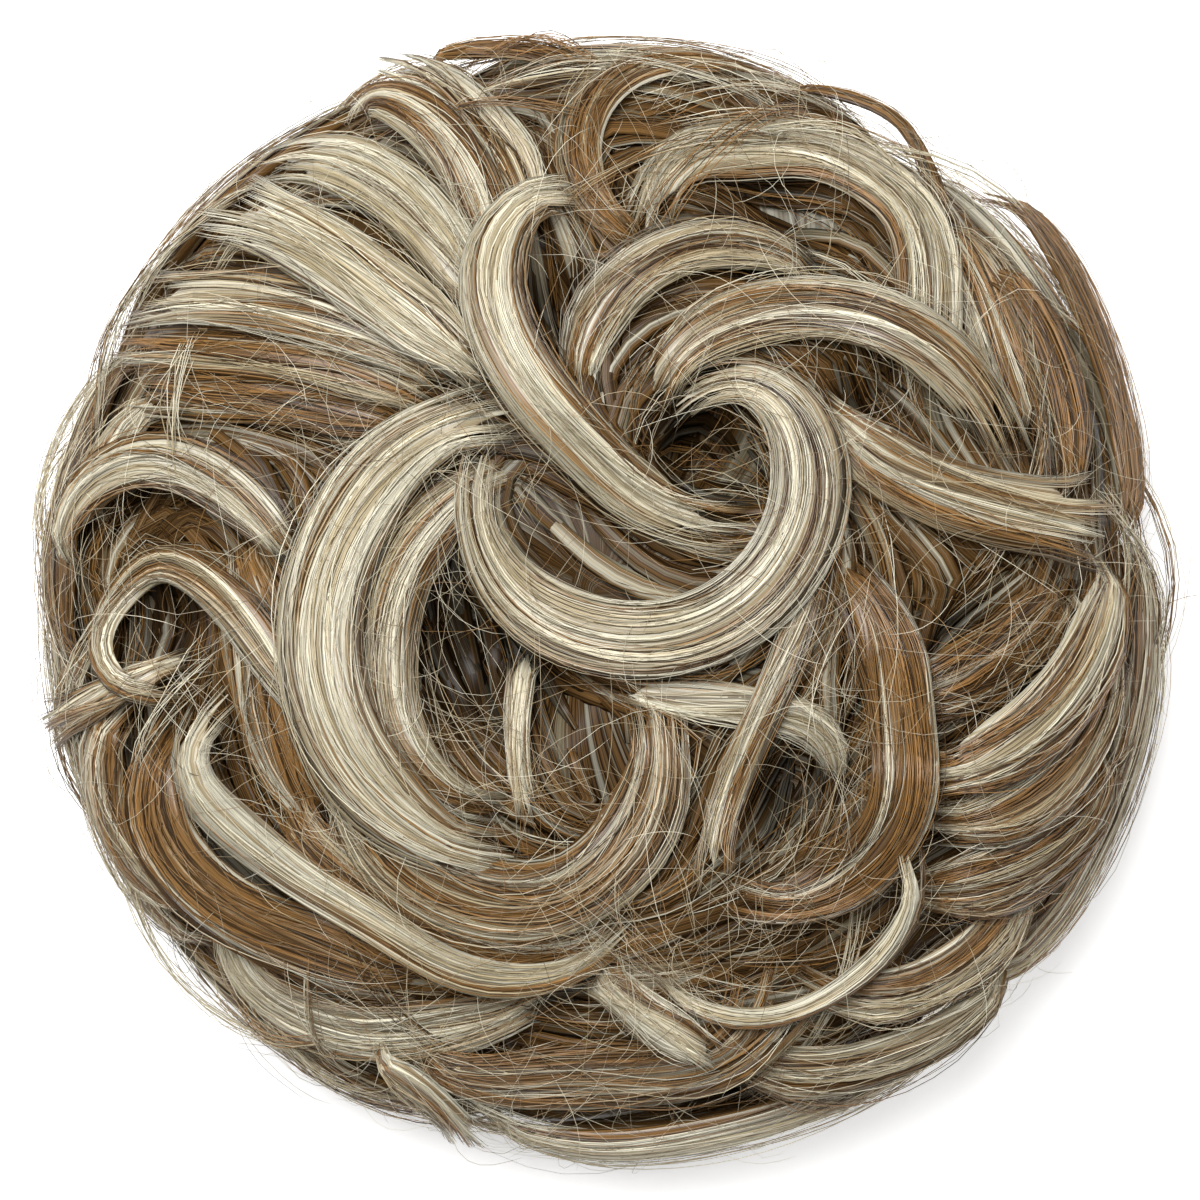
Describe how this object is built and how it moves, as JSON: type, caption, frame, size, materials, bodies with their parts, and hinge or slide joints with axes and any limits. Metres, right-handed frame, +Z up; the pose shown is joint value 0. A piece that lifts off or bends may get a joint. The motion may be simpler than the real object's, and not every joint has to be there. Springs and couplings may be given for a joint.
{
  "type": "top knot hairpiece",
  "caption": "Round messy top knot hairpiece: curled two-tone locks over a domed under hair with an elastic band round the hollow below.",
  "frame": {"origin": "middle of the footprint, on the surface that the hairpiece lies on face up", "axes": "+Z up, away from the wearer's head; +Y towards the edge that is uppermost when it is seen from above"},
  "size_m": [0.1498, 0.1482, 0.0559],
  "materials": {
    "blonde": "satin",
    "ash": "satin",
    "mixed": "satin",
    "brown": "satin",
    "under": "satin",
    "elastic": "matte"
  },
  "bodies": {
    "root": {"elastic_band": "elastic", "under_hair": "under", "side_lock_1": "mixed", "side_lock_2": "mixed", "side_lock_3": "mixed", "side_lock_4": "mixed", "side_lock_5": "mixed", "side_lock_6": "mixed", "side_lock_7": "mixed", "rim_left": "mixed", "rim_left_low": "mixed", "rim_low_left": "blonde", "rim_low_edge": "ash", "rim_low_right": "ash", "rim_right": "brown", "rim_up_right": "brown", "rim_top": "brown", "left_shoulder": "blonde", "left_fall_low": "mixed", "left_fall_brown": "brown", "left_fall_wide": "brown", "low_brown": "brown", "right_dark": "brown", "right_sweep_lowest": "ash", "right_sweep_lower": "mixed", "right_sweep_low": "brown", "right_sweep_middle": "mixed", "right_sweep_inner": "ash", "right_fall": "ash", "right_fall_outer": "brown", "low_sweep": "mixed", "low_flat": "blonde", "low_left_tuft": "ash", "fan_top": "ash", "fan_fold": "ash", "fan_high": "blonde", "fan_brown": "brown", "fan_middle": "mixed", "fan_ash": "ash", "fan_bright": "blonde", "left_curl_outer": "ash", "left_tuft": "ash", "left_curl_inner": "ash", "middle_band": "ash", "pocket_lock": "blonde", "low_ring": "mixed", "low_blonde": "blonde", "drop_right": "brown", "drop_left": "mixed", "low_blonde_thin": "blonde", "top_hook": "mixed", "upper_ring": "blonde", "upper_arc": "mixed", "right_arc": "mixed", "right_flat": "ash", "loop_inner": "mixed", "loop_outer": "blonde", "diagonal": "blonde", "centre_swirl": "blonde"}
  },
  "joints": []
}
